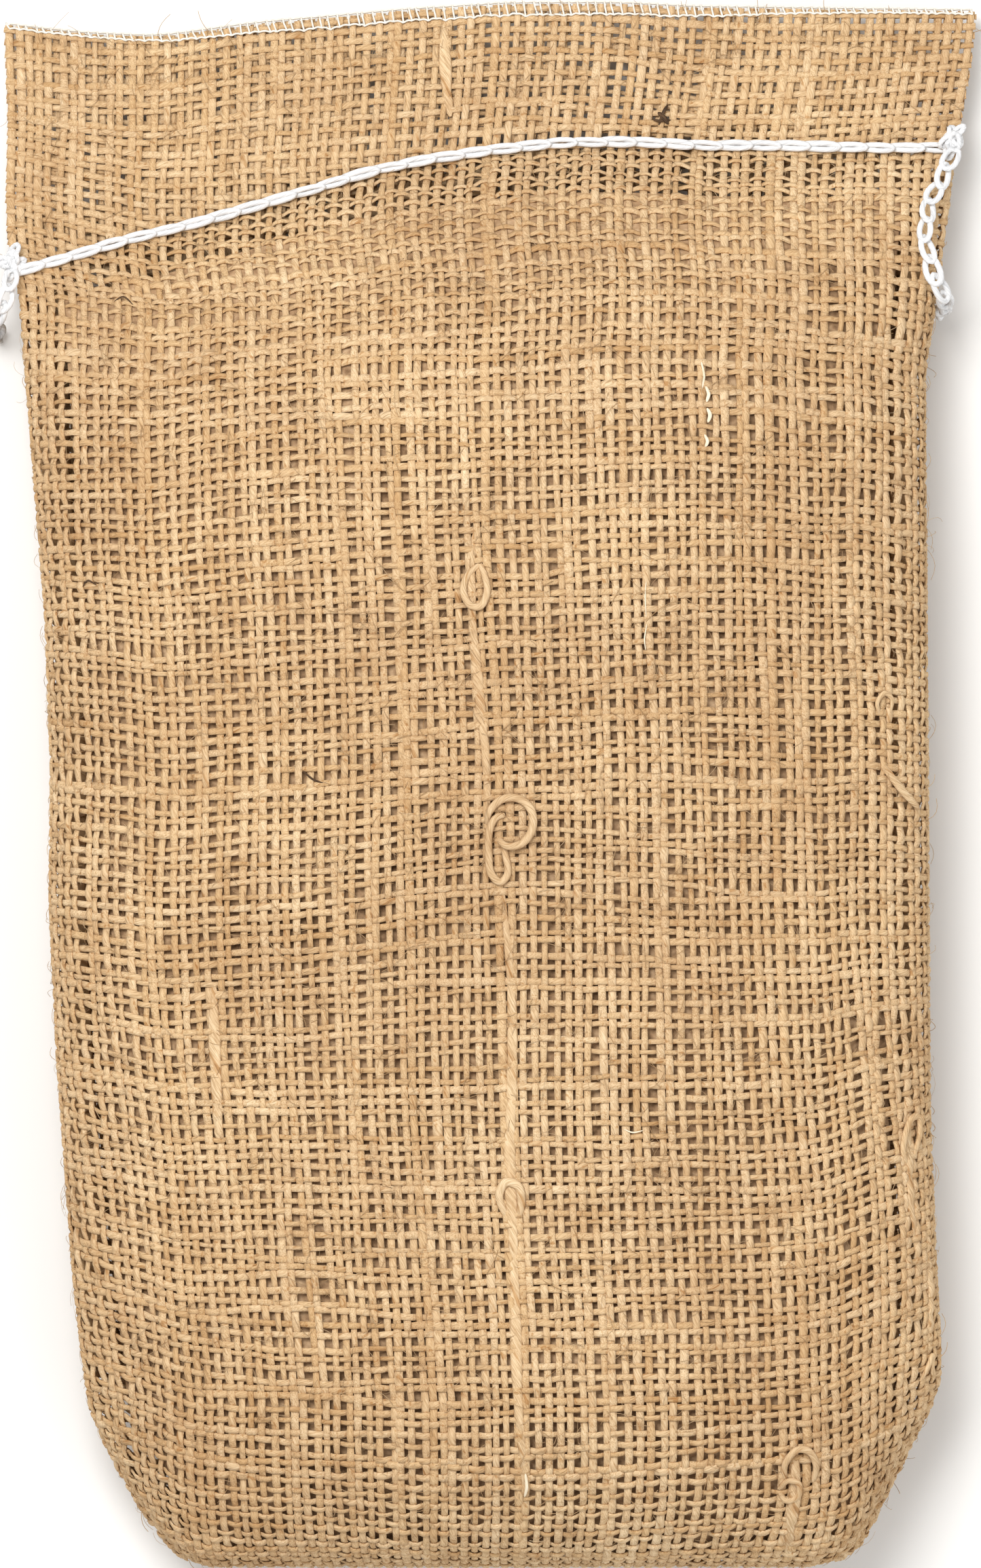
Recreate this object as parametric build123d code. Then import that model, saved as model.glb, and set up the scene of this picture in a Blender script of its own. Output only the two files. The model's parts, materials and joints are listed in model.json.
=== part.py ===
from build123d import *
import os
from math import atan2, cos, degrees, pi, radians, sin, tan

# A filled hessian sack lying on its back, its mouth sewn shut by a chain stitch.
# Millimetres. +Y runs from the bottom fold to the mouth, +Z out of the front face,
# and the origin is on the ground under the middle of the sack.

# Driving dimensions
half_width = 150.0  # half the flat width, as the heading shows it
fill_height = 84.0  # from the ground to the crown of the front
cloth = 1.5  # thickness of one ply of hessian
ply_gap = 0.3  # air between two plies, and between the cloth and the filling
nose_height = 34.0  # height of the bottom fold
edge_height = 37.0  # height of the side edges at mid length
seam_height = 17.0  # height of the pinched mouth along the closing stitch
nose_round = 62.0  # length over which the front rises from the bottom fold
shoulder_round = 105.0  # length over which the front rises from the closing stitch
heel_round = 46.0  # length over which the back comes down from the bottom fold
neck_round = 62.0  # length over which the back comes down from the closing stitch
body_half_width = 141.0
front_fullness = 2.2  # power of the cross-section's curve: 2 is an ellipse, more is boxier
back_fullness = 2.8
mouth_taper = 0.40  # share of the length over which the side edges come down to the mouth
foot_taper = 0.15  # share of the length over which they come down to the bottom fold
sole_dip = 0.8  # how far the back would sink below the ground, cut off as the flat rest
pinch = 3.8  # flat strip on the body side of the chain
fill_slack = 2.6  # room between the skin and the filling
fill_margin = 0.062  # share of the width, at each side, that the side seams take
curve_steps = 16  # stretches that shape each lengthwise curve
neck_length = 14.0  # empty cloth between the filling and the pinch

# Plan of the body: bottom fold with its tucked corners, and the closing stitch
bottom_points = [(-125, -183), (-109, -214), (-96, -234), (-84, -239.8), (94, -239.8), (107, -234)]
bottom_points += [(122, -212), (138, -180)]
seam_points = [(-147, 157.5), (-112.5, 168), (-74, 178.5), (-35.5, 189.5), (3, 196), (37, 198)]
seam_points += [(89, 197), (138, 197)]

# Heading: a flat two-ply strip that slopes down to the ground from its fold line
fold_left = (-150.0, 180.6)
fold_right = (147.0, 219.8)
fold_height = 11.0  # underside of the back ply on the fold line
heading_droop = 8.5  # degrees
mouth_points = [(-150, 234), (-103, 230), (-55, 235.5), (34, 240), (61, 239.5), (150, 238)]
overlock_width = 1.8
root_gap = 0.8  # from the pinched end of the body to the heading's root

# White cotton thread
strand = 1.5
lay_gap = 0.05  # air under a thread that lies on the cloth
link_pitch = 8.8
link_length = 8.5
link_width = 4.4
link_count = 31
dash_gap = 2.4  # between two dashes on the back
knot_radii = (2.6, 3.6, 2.2)
knot_offsets = {"left": (-0.3, 5.4), "right": (4.2, 2.2)}  # from the ends of the seam
tail_diameter = 6.0

# Side seams
allowance_width = 10.0
allowance_thickness = 2.4
allowance_inset = 3.4  # from the body's side edge
allowance_ends = (22.0, 14.0)  # cut short of the bottom fold and of the mouth
seam_stitch_pitch = 10.0

# Lower corners, tucked under
tuck_top = 25.0
tuck_slope = 52.0  # degrees below level
tuck_low = 2.6  # height that the flap's point comes down to
tuck_inset = 5.0  # from the ends of the slanted edge
tuck_point = 0.3  # width of the flap's low end, as a share of its top


def along(points, share):
    """The point at this share of a polyline's run in X, by straight runs."""
    x = points[0][0] + (points[-1][0] - points[0][0]) * share
    for (x0, y0), (x1, y1) in zip(points, points[1:]):
        if x <= x1 or (x1, y1) == points[-1]:
            return x, y0 + (y1 - y0) * (x - x0) / (x1 - x0)


def swell(distance, length, power):
    """A quarter of a superellipse: 0 at distance 0, 1 from length on."""
    left = 1 - min(max(distance / length, 0), 1)
    return (1 - left**power) ** (1 / power)


def rise(distance, length):
    """A slope that starts straight, at an angle, and ends level."""
    return sin(min(max(distance / length, 0), 1) * pi / 2) ** 0.92


def chord(share):
    """The lengthwise line of the body at this share of its width: bottom point, mouth point."""
    foot = Vector(*along(bottom_points, share))
    head = Vector(*along(seam_points, share))
    return foot, head - Vector(0, pinch)


def edge_line(run):
    """Height of the side edges at this share of the length."""
    drop = swell(1 - run, mouth_taper, 1.25)
    lift = swell(run, foot_taper, 2)
    return seam_height + (edge_height - seam_height) * drop - (edge_height - nose_height) * (1 - lift)


def heights(share, run, inset):
    """Top and bottom of the body on one chord, with its skin taken in by inset."""
    foot, head = chord(share)
    length = (head - foot).length
    across = abs(2 * share - 1) * body_half_width / (body_half_width - inset)
    low_end = run * length - inset
    high_end = (1 - run) * length
    round_top = max(1 - across**front_fullness, 0) ** (1 / front_fullness)
    round_sole = max(1 - across**back_fullness, 0) ** (1 / back_fullness)
    level = edge_line(run)
    crown = fill_height - level - inset
    top = level + crown * round_top * swell(low_end, nose_round, 2) * rise(high_end, shoulder_round)
    depth = level + sole_dip - inset
    sole = level - depth * round_sole * swell(low_end, heel_round, 2) * rise(high_end, neck_round)
    return top, sole


def shares(count, margin=0.0):
    """Shares of the width, closer together near the side edges."""
    return [margin + (1 - 2 * margin) * (1 - cos(pi * k / count)) / 2 for k in range(count + 1)]


def curve_points(share, inset, upper, clear=0.0, short=0.0):
    """Points of one lengthwise curve, from the bottom fold to the mouth."""
    foot, head = chord(share)
    unit = (head - foot).normalized()
    start = foot + unit * inset
    stop = head - unit * short
    found = []
    for k in range(curve_steps + 1):
        run = (1 - cos(pi * k / curve_steps)) / 2
        place = start + (stop - start) * run
        true_run = ((place - foot).length) / (head - foot).length
        top, sole = heights(share, true_run, inset)
        level = edge_line(true_run)
        z = max(top, level + clear) if upper else min(sole, level - clear)
        found.append(Vector(place.X, place.Y, z))
    return found


def ring(first, second):
    """A closed wire from two curves that run the same way."""
    there = Edge.make_spline(first)
    back = Edge.make_spline(second)
    return Wire([there, Edge.make_line(first[-1], second[-1]), back, Edge.make_line(first[0], second[0])])


def panel(upper):
    """One half of the body's skin, lofted across the sack."""
    wires = []
    for share in shares(16):
        outer = curve_points(share, 0, upper, clear=0.9)
        inner = curve_points(share, cloth, upper, clear=0.15)
        wires.append(ring(outer, inner))
    return Solid.make_loft(wires)


def front_panel():
    return panel(True)


def back_panel():
    """Cut off level with the ground, so that the sack has a flat face to lie on."""
    below = Box(400, 600, 20, align=(Align.CENTER, Align.CENTER, Align.MAX))
    return panel(False) - below


def seam_band(share):
    """The two turned-in edges as one flat band inside a side edge, with its line and directions."""
    foot, head = chord(share)
    unit = (head - foot).normalized()
    inward = Vector(-unit.Y, unit.X) * (1 if share > 0.5 else -1)
    length = (head - foot).length
    low_end, high_end = allowance_ends
    places = []
    for k in range(9):
        distance = low_end + (length - low_end - high_end) * k / 8
        spot = foot + unit * distance + inward * allowance_inset
        places.append(Vector(spot.X, spot.Y, edge_line(distance / length)))
    half = Vector(0, 0, allowance_thickness / 2)
    face = Face(ring([p + half for p in places], [p - half for p in places]))
    return Solid.extrude(face, inward * allowance_width), places, unit, inward


def side_seam(share):
    return seam_band(share)[0]


def seam_thread(share):
    """Overcast stitches, laid across the top of the two turned-in edges."""
    _, places, unit, inward = seam_band(share)
    run = (places[-1] - places[0]).length
    rise_up = Vector(0, 0, allowance_thickness / 2 + strand / 2 + 2 * ply_gap)
    stitches = []
    for k in range(1, int(run / seam_stitch_pitch)):
        along_run = k * seam_stitch_pitch / run * (len(places) - 1)
        low = places[int(along_run)]
        high = places[int(along_run) + 1]
        spot = low + (high - low) * (along_run % 1) + inward * allowance_width / 2 + rise_up
        angle = degrees(atan2(inward.Y, inward.X))
        climb = degrees(atan2((high - low).Z, (high - low).dot(unit)))
        lean = climb if inward.cross(unit).Z > 0 else -climb
        bar = Rot(0, 0, angle) * Rot(lean, 0, 0) * Box(allowance_width - 1, strand, strand)
        stitches.append(Pos(*spot) * bar)
    return Compound(stitches)


def filling():
    """The load, one solid just inside the skin and between the side seams."""
    inset = cloth + fill_slack
    wires = []
    for share in shares(16, margin=fill_margin):
        upper = curve_points(share, inset, True, 0.2, neck_length)
        lower = curve_points(share, inset, False, 0.2, neck_length)
        wires.append(ring(upper, lower))
    return Solid.make_loft(wires)


# The heading's own plane: X along the fold line, Y towards the mouth, Z out of its front
fold_run = Vector(*fold_right) - Vector(*fold_left)
fold_turn = degrees(atan2(fold_run.Y, fold_run.X))
fold_middle = (Vector(*fold_left) + Vector(*fold_right)) / 2
heading_turn = Rot(0, 0, fold_turn) * Rot(-heading_droop, 0, 0)
heading_place = Pos(fold_middle.X, fold_middle.Y, fold_height) * heading_turn


def flat(point, shift=0.0):
    """A point of the plan, moved towards the mouth by shift, in the heading's own plane."""
    away = Vector(*point) + Vector(0, shift) - fold_middle
    angle = radians(fold_turn)
    u = away.X * cos(angle) + away.Y * sin(angle)
    v = (away.Y * cos(angle) - away.X * sin(angle)) / cos(radians(heading_droop))
    return Vector(u, v)


def ply(face, low, thickness=cloth):
    """A flat face in the heading's plane, given its thickness from height low."""
    return heading_place * Pos(0, 0, low) * Solid.extrude(face, Vector(0, 0, thickness))


front_level = cloth + ply_gap  # underside of the front ply above the heading's plane
heading_top = front_level + cloth


def heading_face():
    """From the fold line to the overlocked mouth edge."""
    low_left, low_right = flat(fold_left, 0.15), flat(fold_right, 0.15)
    mouth = [flat(p, -overlock_width) for p in mouth_points]
    edges = [Edge.make_line(low_left, low_right), Edge.make_line(low_right, mouth[-1])]
    edges += [Edge.make_spline(mouth), Edge.make_line(mouth[0], low_left)]
    return Face(Wire(edges))


def root_face():
    """From the pinched end of the body to the fold line."""
    low = [flat(p, -pinch + root_gap) for p in seam_points]
    low[0] = flat((-150.2, 156.6), -pinch + root_gap)
    low[-1] = flat((144.0, 197), -pinch + root_gap)
    high_left, high_right = flat(fold_left, -0.15), flat(fold_right, -0.15)
    edges = [Edge.make_spline(low), Edge.make_line(low[-1], high_right)]
    edges += [Edge.make_line(high_right, high_left), Edge.make_line(high_left, low[0])]
    return Face(Wire(edges))


def overlock_face():
    inner = [flat(p, -overlock_width) for p in mouth_points]
    outer = [flat(p) for p in mouth_points]
    edges = [Edge.make_spline(inner), Edge.make_line(inner[-1], outer[-1])]
    edges += [Edge.make_spline(outer), Edge.make_line(outer[0], inner[0])]
    return Face(Wire(edges))


def along_seam(shape, level):
    """Copies of a shape along the closing stitch, at this height in the heading's own plane."""
    line = Edge.make_spline([flat(p) for p in seam_points])
    copies = []
    for k in range(link_count):
        share = (k + 0.5) / link_count
        spot, tangent = line.position_at(share), line.tangent_at(share)
        turn = degrees(atan2(tangent.Y, tangent.X))
        copies.append(heading_place * Pos(spot.X, spot.Y, level) * Rot(0, 0, turn) * shape)
    return Compound(copies)


def chain_link():
    """One closed loop of thread, lying flat."""
    radius = (link_width - strand) / 2
    half = (link_length - strand) / 2 - radius
    path = Wire(
        [
            Edge.make_line((-half, -radius), (half, -radius)),
            Edge.make_three_point_arc((half, -radius), (half + radius, 0), (half, radius)),
            Edge.make_line((half, radius), (-half, radius)),
            Edge.make_three_point_arc((-half, radius), (-half - radius, 0), (-half, -radius)),
        ]
    )
    section = Plane(origin=(0, -radius, 0), z_dir=(1, 0, 0)) * Circle(strand / 2)
    return sweep(section, path=path)


def closing_chain():
    """The chain side of the closing stitch, on the front."""
    return along_seam(chain_link(), heading_top + strand / 2 + lay_gap)


def closing_stitches_back():
    """The dashes of the same thread on the back."""
    thick = strand * 0.7
    return along_seam(Box(link_pitch - dash_gap, strand, thick), -thick / 2 - lay_gap)


def knot(side):
    """A tight lump of thread where the chain runs off the cloth."""
    end = seam_points[0] if side == "left" else seam_points[-1]
    out = knot_offsets[side]
    spot = flat((end[0] + out[0], end[1] + out[1]))
    level = heading_top + knot_radii[2] + 2 * lay_gap
    return heading_place * Pos(spot.X, spot.Y, level) * scale(Sphere(1), by=knot_radii)


def tail(points):
    """A limp chain of thread as a plain tube: straight runs joined by tangent arcs."""
    places = [Vector(*p) for p in points]
    runs = [b - a for a, b in zip(places, places[1:])]
    radii = []
    for before, after in zip(runs, runs[1:]):
        turn = before.get_angle(after)
        radii.append(0.45 * min(before.length, after.length) / tan(radians(turn) / 2))
    path = FilletPolyline(*places, radius=radii)
    section = Plane(origin=places[0], z_dir=runs[0]) * Circle(tail_diameter / 2)
    tube = sweep(section, path=path)
    area = pi * tail_diameter**2 / 4
    print("tail length", round(path.length, 1), "radii", [round(r, 1) for r in radii])
    print("tail volume against section times length", round(tube.volume / (area * path.length), 4))
    return tube


right_tail_points = [
    (142.6, 194.4, 23.4),
    (141.4, 184.6, 27.4),
    (138.6, 174.8, 32.6),
    (137.4, 164.8, 37.4),
    (139.6, 154.8, 38.4),
    (144.0, 147.0, 33.0),
    (147.0, 142.2, 24.0),
    (148.2, 139.8, 12.8),
    (148.4, 138.8, 1.2),
]
left_tail_points = [
    (-147.6, 157.6, 22.4),
    (-148.2, 148.6, 26.4),
    (-152.2, 140.4, 26.4),
    (-156.0, 134.6, 20.0),
    (-157.6, 131.6, 11.0),
    (-158.0, 130.4, 1.2),
]


def corner_tuck(side):
    """The corner's two plies, folded down and in under the body along the slanted edge."""
    left = side == "left"
    outer, inner = (bottom_points[0], bottom_points[2]) if left else (bottom_points[-1], bottom_points[-3])
    along_edge = (Vector(*inner) - Vector(*outer)).normalized()
    inward = Vector(-along_edge.Y, along_edge.X) * (1 if left else -1)
    slope = radians(tuck_slope)
    down = inward * cos(slope) - Vector(0, 0, sin(slope))
    outward = -inward * sin(slope) - Vector(0, 0, cos(slope))
    near = [share for share in shares(40) if (share < 0.5) == left]
    skin = [p for share in near for p in curve_points(share, 0, False, clear=0.9)]
    reach = max(outward.dot(p) for p in skin) + 3 * ply_gap

    def corner(spot, height):
        """On the plane that just clears the body's underside, at this height, abreast of spot."""
        inwards = -(reach + height * cos(slope)) / sin(slope)
        return along_edge * along_edge.dot(Vector(*spot)) + inward * inwards + Vector(0, 0, height)

    ends = [corner(outer, tuck_top) + along_edge * tuck_inset]
    ends.append(corner(inner, tuck_top) - along_edge * tuck_inset)
    middle = (ends[0] + ends[1]) / 2
    point = middle + down * (tuck_top - tuck_low) / sin(slope)
    low = [point + (end - middle) * tuck_point for end in ends]
    face = Face(Wire.make_polygon([ends[0], ends[1], low[1], low[0]]))
    return Solid.extrude(face, outward * 2 * cloth)


shapes = {
    "filling": filling(),
    "front_panel": front_panel(),
    "back_panel": back_panel(),
    "left_side_seam": side_seam(0),
    "right_side_seam": side_seam(1),
    "left_seam_thread": seam_thread(0),
    "right_seam_thread": seam_thread(1),
    "left_corner_tuck": corner_tuck("left"),
    "right_corner_tuck": corner_tuck("right"),
    "heading_root_back": ply(root_face(), 0),
    "heading_root_front": ply(root_face(), front_level),
    "closing_chain": closing_chain(),
    "closing_stitches_back": closing_stitches_back(),
    "left_chain_knot": knot("left"),
    "right_chain_knot": knot("right"),
    "left_chain_tail": tail(left_tail_points),
    "right_chain_tail": tail(right_tail_points),
    "heading_back_ply": ply(heading_face(), 0),
    "heading_front_ply": ply(heading_face(), front_level),
    "mouth_overlock_back": ply(overlock_face(), -0.15, cloth + 0.2),
    "mouth_overlock_front": ply(overlock_face(), front_level - 0.05, cloth + 0.2),
}

hinge_point = heading_place * Pos(0, 0, heading_top)
hinge_other = heading_place * Pos(1000, 0, heading_top)
print("fold axis at", hinge_point.position, "along", hinge_other.position - hinge_point.position)

os.makedirs("parts", exist_ok=True)
for name, shape in shapes.items():
    export_step(shape, f"parts/{name}.step")
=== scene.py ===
import json
import math

import bmesh
import bpy
import numpy as np
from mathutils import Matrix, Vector


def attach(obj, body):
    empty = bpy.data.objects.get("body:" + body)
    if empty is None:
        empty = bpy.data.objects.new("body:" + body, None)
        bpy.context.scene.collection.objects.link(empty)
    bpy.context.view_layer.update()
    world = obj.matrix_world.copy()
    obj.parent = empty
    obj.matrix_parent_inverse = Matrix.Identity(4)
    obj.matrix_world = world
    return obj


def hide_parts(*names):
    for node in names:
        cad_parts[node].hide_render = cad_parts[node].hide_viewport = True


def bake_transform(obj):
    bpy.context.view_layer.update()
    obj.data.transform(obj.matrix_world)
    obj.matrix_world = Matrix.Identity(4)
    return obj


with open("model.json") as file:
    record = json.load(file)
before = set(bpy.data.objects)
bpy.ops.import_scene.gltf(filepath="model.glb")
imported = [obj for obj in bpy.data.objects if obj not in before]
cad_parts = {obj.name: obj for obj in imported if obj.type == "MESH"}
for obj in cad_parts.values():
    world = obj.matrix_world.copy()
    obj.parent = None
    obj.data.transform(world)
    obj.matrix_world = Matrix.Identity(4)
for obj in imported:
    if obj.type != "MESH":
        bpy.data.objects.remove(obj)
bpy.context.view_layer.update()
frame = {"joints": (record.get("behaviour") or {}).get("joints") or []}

mm = 0.001
seed = 41
collection = bpy.context.scene.collection
foldJoint = next(j for j in frame["joints"] if j["name"] == "heading_fold")
foldPoint = np.array(foldJoint["pos_m"])
foldAxis = np.array(foldJoint["axis"])
foldAway = np.array([-foldAxis[1], foldAxis[0]])  # from the fold line towards the mouth, in plan
fold = {  # where cloth passes from one body to the next, as distances past the fold line
    "sackEnd": -4 * mm,
    "backStart": 4.5 * mm,
    "backEnd": 6 * mm,
    "frontStart": 15 * mm,
}


def fasten(piece, body, slotName, *nodes):
    # the body that a piece rides on, a material slot name that is not used, and the nodes that it stands for
    if body == "rootFold":
        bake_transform(piece)
    elif body == "frontFold":
        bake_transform(piece)
    else:
        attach(piece, body)
    if nodes:
        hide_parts(*nodes)


# camera

studio = {
    "eyeHeight": 5.03,  # above the floor, so that the sides hardly converge
    "viewHeight": 0.4817,  # metres at the sack's level that fill the view's height
    "viewCentre": (-0.0002, 0.0003),
    "sensor": 36.0,
    "key": ((-0.50, 0.75, 2.0), 1.0, 40.5),  # place, size and power
    "fill": ((1.2, -0.8, 1.6), 1.6, 10.0),
    "domeStrength": 0.60,
    "floorColour": (0.86, 0.85, 0.83, 1),
}


def makeCamera():
    cameraData = bpy.data.cameras.new("camera")
    cameraData.sensor_fit = "VERTICAL"
    cameraData.sensor_height = studio["sensor"]
    cameraData.lens = studio["sensor"] * (studio["eyeHeight"] - 0.03) / studio["viewHeight"]
    cameraData.clip_end = 50
    camera = bpy.data.objects.new("camera", cameraData)
    camera.location = (*studio["viewCentre"], studio["eyeHeight"])
    collection.objects.link(camera)
    bpy.context.scene.camera = camera


makeCamera()
print("camera made")


# strands: every yarn and thread is a guide line that one node tree turns into a tube


def addObject(name, data):
    made = bpy.data.objects.new(name, data)
    collection.objects.link(made)
    return made


def newStrands():
    keys = ("places", "outward", "lift", "width", "along", "tone", "edges")
    return {"count": 0, **{key: [] for key in keys}}


def addStrand(strands, places, outward, width, tone=0.5, lift=0.0, along=None, closed=False):
    # one guide line; outward is the way its flat face looks, lift moves it in and out of the weave
    places = np.asarray(places, float)
    count = len(places)
    if along is None:
        steps = np.linalg.norm(np.diff(places, axis=0), axis=1)
        along = np.concatenate([[0], np.cumsum(steps)])
    first = strands["count"]
    order = np.arange(first, first + count)
    strands["edges"].append(np.stack([order[:-1], order[1:]], 1))
    if closed:
        strands["edges"].append(np.array([[first + count - 1, first]]))
    strands["places"].append(places)
    strands["outward"].append(np.broadcast_to(outward, (count, 3)))
    for key, value in (("lift", lift), ("width", width), ("along", along), ("tone", tone)):
        strands[key].append(np.broadcast_to(np.asarray(value, float), (count,)))
    strands["count"] += count


def treeNode(tree, kind, operation=None, **values):
    # a node with its inputs filled; an input named in0 is the first one, and an output is linked
    made = tree.nodes.new(kind)
    if operation:
        made.operation = operation
    for name, value in values.items():
        socket = made.inputs[int(name[2:]) if name in ("in0", "in1") else name]
        if isinstance(value, bpy.types.NodeSocket):
            tree.links.new(value, socket)
        else:
            socket.default_value = value
    return made


def namedValue(tree, name, kind="FLOAT"):
    made = treeNode(tree, "GeometryNodeInputNamedAttribute", Name=name)
    made.data_type = kind
    return made.outputs["Attribute"]


def makeStrandTree():
    tree = bpy.data.node_groups.new("strandTubes", "GeometryNodeTree")
    sockets = {"Guides": "Geometry", "Crimp": "Float", "Flatness": "Float", "Sides": "Int",
               "Finish": "Material"}
    for name, kind in sockets.items():
        tree.interface.new_socket(name, in_out="INPUT", socket_type="NodeSocket" + kind)
    tree.interface.new_socket("Tubes", in_out="OUTPUT", socket_type="NodeSocketGeometry")
    given = tree.nodes.new("NodeGroupInput").outputs
    result = tree.nodes.new("NodeGroupOutput")
    outward = namedValue(tree, "outward", "FLOAT_VECTOR")

    # lift the guides in and out of the cloth by the crimp
    reach = treeNode(tree, "ShaderNodeMath", "MULTIPLY", in0=namedValue(tree, "lift"), in1=given["Crimp"])
    shift = treeNode(tree, "ShaderNodeVectorMath", "SCALE", in0=outward, Scale=reach.outputs[0])
    moved = treeNode(tree, "GeometryNodeSetPosition", Geometry=given["Guides"], Offset=shift.outputs[0])

    # lines with their flat side turned outwards
    lines = treeNode(tree, "GeometryNodeMeshToCurve", in0=moved.outputs[0])
    turned = treeNode(tree, "GeometryNodeSetCurveNormal", Curve=lines.outputs[0])
    turned.mode = "FREE"
    tree.links.new(outward, turned.inputs["Normal"])

    # a flattened round section that remembers its place across the strand
    ring = treeNode(tree, "GeometryNodeCurvePrimitiveCircle", Radius=0.5, Resolution=given["Sides"])
    place = tree.nodes.new("GeometryNodeInputPosition")
    parts = treeNode(tree, "ShaderNodeSeparateXYZ", in0=place.outputs[0])
    keep = treeNode(tree, "GeometryNodeStoreNamedAttribute", Name="across", Geometry=ring.outputs["Curve"])
    keep.data_type = "FLOAT"
    tree.links.new(parts.outputs["Y"], keep.inputs["Value"])
    size = treeNode(tree, "ShaderNodeCombineXYZ", X=given["Flatness"], Y=1, Z=1)
    section = treeNode(tree, "GeometryNodeTransform", Geometry=keep.outputs[0], Scale=size.outputs[0])

    tubes = treeNode(tree, "GeometryNodeCurveToMesh", Curve=turned.outputs[0],
                     Scale=namedValue(tree, "width"))
    tubes.inputs["Fill Caps"].default_value = True
    tree.links.new(section.outputs[0], tubes.inputs["Profile Curve"])
    smooth = treeNode(tree, "GeometryNodeSetShadeSmooth", Geometry=tubes.outputs[0])
    real = treeNode(tree, "GeometryNodeRealizeInstances", in0=smooth.outputs[0])
    finish = treeNode(tree, "GeometryNodeSetMaterial", Geometry=real.outputs[0], Material=given["Finish"])
    tree.links.new(finish.outputs[0], result.inputs[0])
    return tree


strandTree = makeStrandTree()


def makeStrands(name, strands, finish, crimp=0.0, flatness=1.0, sides=6):
    guides = bpy.data.meshes.new(name + "Guides")
    places = np.concatenate(strands["places"])
    edges = np.concatenate(strands["edges"])
    guides.vertices.add(len(places))
    guides.vertices.foreach_set("co", places.ravel())
    guides.edges.add(len(edges))
    guides.edges.foreach_set("vertices", edges.ravel().astype(np.int32))
    outward = guides.attributes.new("outward", "FLOAT_VECTOR", "POINT")
    outward.data.foreach_set("vector", np.concatenate(strands["outward"]).ravel())
    for key in ("lift", "width", "along", "tone"):
        guides.attributes.new(key, "FLOAT", "POINT").data.foreach_set("value", np.concatenate(strands[key]))
    holder = addObject(name + "Guides", guides)
    modifier = holder.modifiers.new("strandTubes", "NODES")
    modifier.node_group = strandTree
    chosen = {"Crimp": crimp, "Flatness": flatness, "Sides": sides, "Finish": finish}
    for item in strandTree.interface.items_tree:
        if item.name in chosen:
            modifier[item.identifier] = chosen[item.name]
    evaluated = holder.evaluated_get(bpy.context.evaluated_depsgraph_get())
    tubes = bpy.data.meshes.new_from_object(evaluated)
    bpy.data.objects.remove(holder)
    tubes.name = name
    for unused in ("outward", "lift", "width"):
        if unused in tubes.attributes:
            tubes.attributes.remove(tubes.attributes[unused])
    return addObject(name, tubes)


# finishes


def newFinish(name, roughness, specular=0.3):
    finish = bpy.data.materials.new(name)
    finish.use_nodes = True
    shader = finish.node_tree.nodes["Principled BSDF"]
    shader.inputs["Roughness"].default_value = roughness
    shader.inputs["Specular IOR Level"].default_value = specular
    return finish, finish.node_tree, shader


def attributeValue(tree, name):
    made = tree.nodes.new("ShaderNodeAttribute")
    made.attribute_name = name
    return made.outputs["Fac"]


def mathNode(tree, operation, first, second):
    return treeNode(tree, "ShaderNodeMath", operation, in0=first, in1=second).outputs[0]


def ramp(tree, value, stops):
    made = tree.nodes.new("ShaderNodeValToRGB")
    points = made.color_ramp.elements
    while len(points) < len(stops):
        points.new(0.5)
    for point, (place, colour) in zip(points, stops):
        point.position = place
        point.color = (*colour, 1)
    tree.links.new(value, made.inputs[0])
    return made.outputs[0]


def strandNoise(tree, twist, acrossScale, alongScale, detail, roughness):
    # fibres that run nearly along the strand and lean with its twist; the tone sets each strand apart
    along = attributeValue(tree, "along")
    lean = mathNode(tree, "ADD", attributeValue(tree, "across"), mathNode(tree, "MULTIPLY", along, twist))
    apart = mathNode(tree, "MULTIPLY", attributeValue(tree, "tone"), 97.0)
    where = treeNode(tree, "ShaderNodeCombineXYZ", X=mathNode(tree, "MULTIPLY", lean, acrossScale),
                     Y=mathNode(tree, "MULTIPLY", along, alongScale), Z=apart)
    noise = treeNode(tree, "ShaderNodeTexNoise", Vector=where.outputs[0], Scale=1, Detail=detail,
                     Roughness=roughness)
    return noise.outputs["Fac"]


def multiplyColour(tree, first, second, share=1.0):
    mix = tree.nodes.new("ShaderNodeMix")
    mix.data_type = "RGBA"
    mix.blend_type = "MULTIPLY"
    mix.inputs[0].default_value = share
    tree.links.new(first, mix.inputs[6])
    tree.links.new(second, mix.inputs[7])
    return mix.outputs[2]


def patchNoise(tree, scale, detail=3):
    where = tree.nodes.new("ShaderNodeTexCoord")
    noise = treeNode(tree, "ShaderNodeTexNoise", Vector=where.outputs["Object"], Scale=scale, Detail=detail)
    return noise.outputs["Fac"]


def mixValues(tree, first, second, firstShare):
    return mathNode(tree, "ADD", mathNode(tree, "MULTIPLY", first, firstShare),
                    mathNode(tree, "MULTIPLY", second, 1 - firstShare))


def addRelief(tree, shader, height, strength, depth):
    bump = treeNode(tree, "ShaderNodeBump", Strength=strength, Distance=depth, Height=height)
    tree.links.new(bump.outputs[0], shader.inputs["Normal"])


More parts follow.
